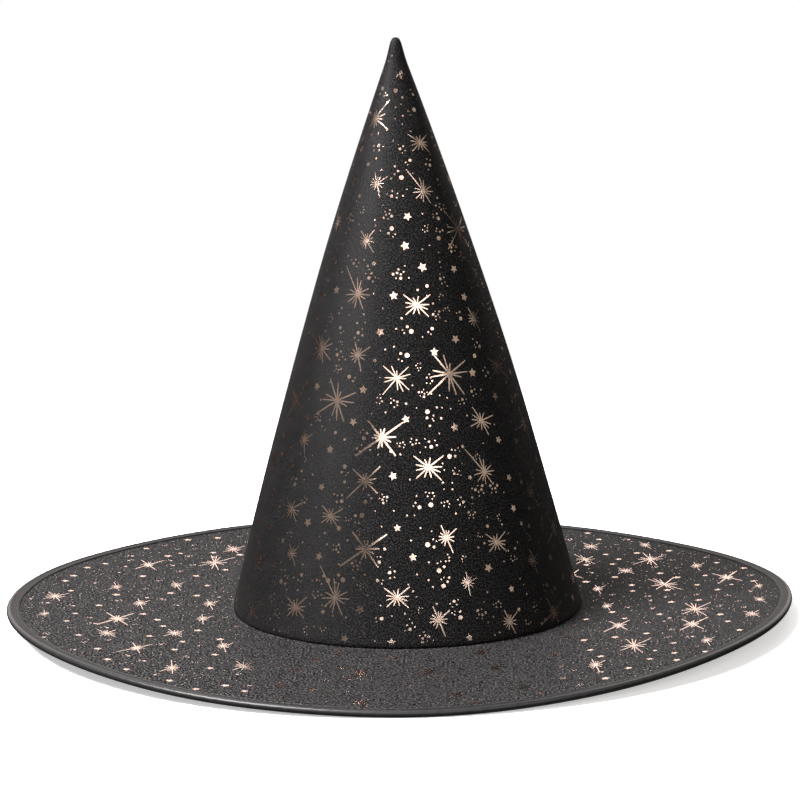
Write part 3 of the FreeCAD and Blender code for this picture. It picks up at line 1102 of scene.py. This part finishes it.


# The biggest bursts on the front of the crown, given one by one: degrees from the front, height in mm.
frontBursts = [
    (-30, 175, "tall", 0.85), (25, 135, "wide", 1.0), (-10, 105, "cross", 1.05), (-15, 50, "cross", 1.0),
    (35, 85, "tall", 0.85), (-25, 25, "tall", 1.0), (60, 205, "wide", 0.9), (35, 10, "small", 0.9),
    (35, 250, "even", 0.85), (-25, 230, "small", 0.85), (10, 170, "even", 0.95), (10, 90, "even", 1.0),
    (15, 55, "small", 0.95), (35, 50, "even", 0.8), (-25, 145, "small", 1.0), (50, 160, "small", 0.9),
    (60, 135, "even", 0.9), (10, 15, "small", 1.0), (-50, 65, "even", 0.9), (-65, 35, "even", 0.95),
    (-50, 100, "small", 0.85), (60, 70, "small", 0.9), (-30, 65, "even", 0.85),
]


def layCrownPrint():
    sectorTurn = math.pi * hat["seamRadius"] / fan.reach

    def inside(x, y, reach):
        far = math.hypot(x, y)
        if far < 5 * mm + 2.6 * reach or far + 0.4 * reach > fan.reach - 2.5 * mm:
            return False
        radius, height, out = fan.at(far)
        limit = math.pi * radius - reach - printLook["margin"]
        return abs(math.atan2(x, -y)) * far < limit

    layout = Layout(4, inside)
    for angle, height, name, size in frontBursts:
        at = fan.spread(math.radians(angle), fan.reachOf(height * mm))
        local = math.atan2(at.x, -at.y)
        layout.put(at.x, at.y, name, size, local, 10.5 * mm)
    far = fan.reach
    wide = far * math.sin(min(sectorTurn, math.pi / 2))
    box = (-wide, -far, wide, far * max(0.0, -math.cos(sectorTurn)))
    layout.fill(box, crownPasses, 0.55)
    return layout


def layBrimPrint():
    seam = hat["seamRadius"]

    def inside(x, y, reach):
        far = math.hypot(x, y)
        centre = math.hypot(x - hat["axisX"] * 0.5, y)
        return centre > seam + 1.5 * mm + 0.6 * reach and far + 0.75 * reach < brimLook["edge"] - 4.2 * mm

    layout = Layout(9, inside, 2.1, True)
    layout.fill((-brimRadius, -brimRadius, brimRadius, brimRadius), brimPasses, 0.45)
    return layout


def printCloth(name, layout, seed, place):
    # stamp the motifs flat, then carry them to the sewn shape with the cloth
    piece = bakeTree(name, layout.mesh(name + "Layout"), printing,
                     {"Motifs": motifs, "Foil Thickness": printLook["thick"], "Seed": seed, "Foil": foilInk})
    for vertex in piece.data.vertices:
        x, y, z = vertex.co
        vertex.co = place(x, y, z + printLook["lift"])
    piece.data.update()
    return piece


def brimPlace(x, y, lift):
    radius = math.hypot(x, y)
    angle = math.atan2(x, -y)
    return onBrim(angle, radius, topLevel + brimLook["cloth"] + lift)


print("printing the cloth")
motifs, motifList = motifSet()
motifNumber = {motif["name"]: k for k, motif in enumerate(motifList)}
motifReach = {motif["name"]: motif["reach"] for motif in motifList}
printing = printTree()
crownLayout = layCrownPrint()
brimLayout = layBrimPrint()
crownPrint = printCloth("crownPrint", crownLayout, 21, fan.roll)
brimPrint = printCloth("brimPrint", brimLayout, 22, brimPlace)
for leftover in list(motifs.objects):
    bpy.data.objects.remove(leftover)
bpy.data.collections.remove(motifs)
print("motifs:", len(crownLayout.points), "on the crown,", len(brimLayout.points), "on the brim")


# joining the frame

standIns = {
    crown: "crown_fabric", stiffCone: "crown_interlining", liningCone: "crown_lining",
    brimTop: "brim_top_fabric", brimUnder: "brim_bottom_fabric", brimCore: "brim_interlining",
    binding: "brim_binding", topStitches: "binding_needle_thread", underStitches: "binding_bobbin_thread",
    sweatband: "sweatband",
}
for piece, node in standIns.items():
    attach(piece, "hat")
    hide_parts(node)
for piece, slot in ((crownPrint, "printed_cloth"), (brimPrint, "printed_cloth"), (lap, "satin_tape"),
                    (lowBandStitches, "thread"), (highBandStitches, "thread")):
    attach(piece, "hat")
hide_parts("sweatband_thread")
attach(label, "label")
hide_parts("care_label")

cadLooks = {
    "crown_seam_thread": threadLook, "tip_tack": threadLook, "brim_join_thread": threadLook,
    "sweatband_bar_tack": threadLook, "label_tack": threadLook, "brim_wire": wireLook, "wire_crimp": crimpLook,
}
for node, look in cadLooks.items():
    for slot in frame["nodes"][node].material_slots:
        slot.link = "OBJECT"
        slot.material = look


# studio

studio = {
    "distance": 1.872,
    "elevation": 14.14,
    "parts": 800,            # the view's width, in the parts that the next three are counted in
    "seamDown": 206.7,       # the seam's centre from the middle of the view
    "seamAcross": -0.8,
    "perMetre": 1873.7,      # parts to a metre, at the seam
    "roll": 0.81,
    "sensor": 36.0,
}


def addCamera():
    # aimed at the middle of the view, with the seam low in it
    tilt = math.radians(studio["elevation"])
    seam = Vector((0, 0, hat["seamLevel"]))
    eye = seam + Vector((0, -math.cos(tilt), math.sin(tilt))) * studio["distance"]
    reach = studio["perMetre"] * studio["distance"]
    roll = math.radians(studio["roll"])
    across = studio["seamAcross"] * math.cos(roll) - studio["seamDown"] * math.sin(roll)
    down = studio["seamDown"] * math.cos(roll) + studio["seamAcross"] * math.sin(roll)
    pitch = math.atan2(down, reach)
    yaw = math.atan2(across, reach)
    data = bpy.data.cameras.new("camera")
    data.sensor_width = studio["sensor"]
    data.lens = studio["sensor"] * reach / studio["parts"]
    data.clip_end = 20
    camera = bpy.data.objects.new("camera", data)
    bpy.context.scene.collection.objects.link(camera)
    level = Matrix.Rotation(math.pi / 2 - tilt + pitch, 4, "X")
    turned = Matrix.Rotation(yaw, 4, "Z") @ level @ Matrix.Rotation(-roll, 4, "Z")
    camera.matrix_world = Matrix.Translation(eye) @ turned
    bpy.context.scene.camera = camera


def softbox(name, around, elevation, distance, size, radiance, color):
    # a flat lamp aimed at the crown; around is degrees from the camera's side, to the right
    data = bpy.data.lights.new(name, "AREA")
    data.shape = "RECTANGLE"
    data.size, data.size_y = size
    data.energy = radiance * math.pi * size[0] * size[1]
    data.color = color
    lamp = bpy.data.objects.new(name, data)
    bpy.context.scene.collection.objects.link(lamp)
    turn, tilt = math.radians(around), math.radians(elevation)
    way = Vector((math.sin(turn) * math.cos(tilt), -math.cos(turn) * math.cos(tilt), math.sin(tilt)))
    target = Vector((0, 0, 0.12))
    lamp.location = target + way * distance
    lamp.rotation_euler = way.to_track_quat("Z", "Y").to_euler()
    lamp.visible_camera = False
    return lamp


def addWorld():
    # white all round for the camera; the hat itself sees a bright wall behind it and a dimmer room in front
    world = bpy.data.worlds.new("room")
    bpy.context.scene.world = world
    world.use_nodes = True
    world.node_tree.nodes.clear()
    board = Board(world.node_tree)
    way = board.node("ShaderNodeTexCoord", {}, {}, "Generated")
    _, behind, up = board.split(way)
    wall = board.ramp(behind, 0.66, 0.9) * board.ramp(up, 0.0, 0.16)
    dim = board.mixColor(board.ramp(up, 0.1, 0.4), gray(0.035), gray(0.11))
    room = board.mixColor(wall, dim, (2.3, 2.08, 2.0, 1))
    room = board.mixColor(board.ramp(up, -0.45, -0.85), room, gray(1.3))
    shown = board.node("ShaderNodeLightPath", {}, {}, "Is Camera Ray")
    color = board.mixColor(shown, room, (1, 1, 1, 1))
    glow = board.node("ShaderNodeBackground", {}, {"Color": color, "Strength": 1.0})
    board.node("ShaderNodeOutputWorld", {}, {"Surface": glow})


def addFloor():
    bm = bmesh.new()
    bmesh.ops.create_circle(bm, cap_ends=True, segments=96, radius=3.0)
    floor = finishMesh("floor", bm, None, smooth=False)
    # the lit floor isn't thrown back on the hat
    floor.visible_diffuse = False
    floor.visible_glossy = False
    for vertex in floor.data.vertices:
        vertex.co.z = -0.0003
    made, board = newMaterial("paleFloor")
    # lit near the hat, and an even white further off
    place = board.node("ShaderNodeTexCoord", {}, {}, "Object")
    far = board.node("ShaderNodeVectorMath", {"operation": "LENGTH"}, {0: place}, 1)
    away = board.ramp(far, 0.30, 0.75)
    closeMaterial(board, {"Base Color": board.mixColor(away, gray(0.9), gray(0.0)), "Roughness": 0.9,
                          "Emission Color": board.mixColor(away, gray(0.45), gray(1.0)),
                          "Emission Strength": 1.0, "Specular IOR Level": 0.0})
    floor.data.materials.append(made)


print("setting up the studio")
addCamera()
addWorld()
addFloor()
softbox("highLeft", -60, 53, 1.6, (0.9, 0.9), 53.0, (1.0, 0.97, 0.98))
softbox("highBack", 172, 66, 1.7, (1.8, 0.9), 1.5, (1.0, 0.99, 1.0))
softbox("leftWall", -70, 16, 1.7, (2.2, 1.0), 0.22, (0.96, 1.0, 0.88))
softbox("frontBox", 12, 22, 1.7, (2.1, 0.7), 3.7, (1.0, 0.95, 0.90))
softbox("rightBox", 74, 18, 1.6, (1.3, 0.9), 0.50, (1.0, 0.97, 0.84))
bpy.context.scene.view_settings.view_transform = "Standard"

print("done")
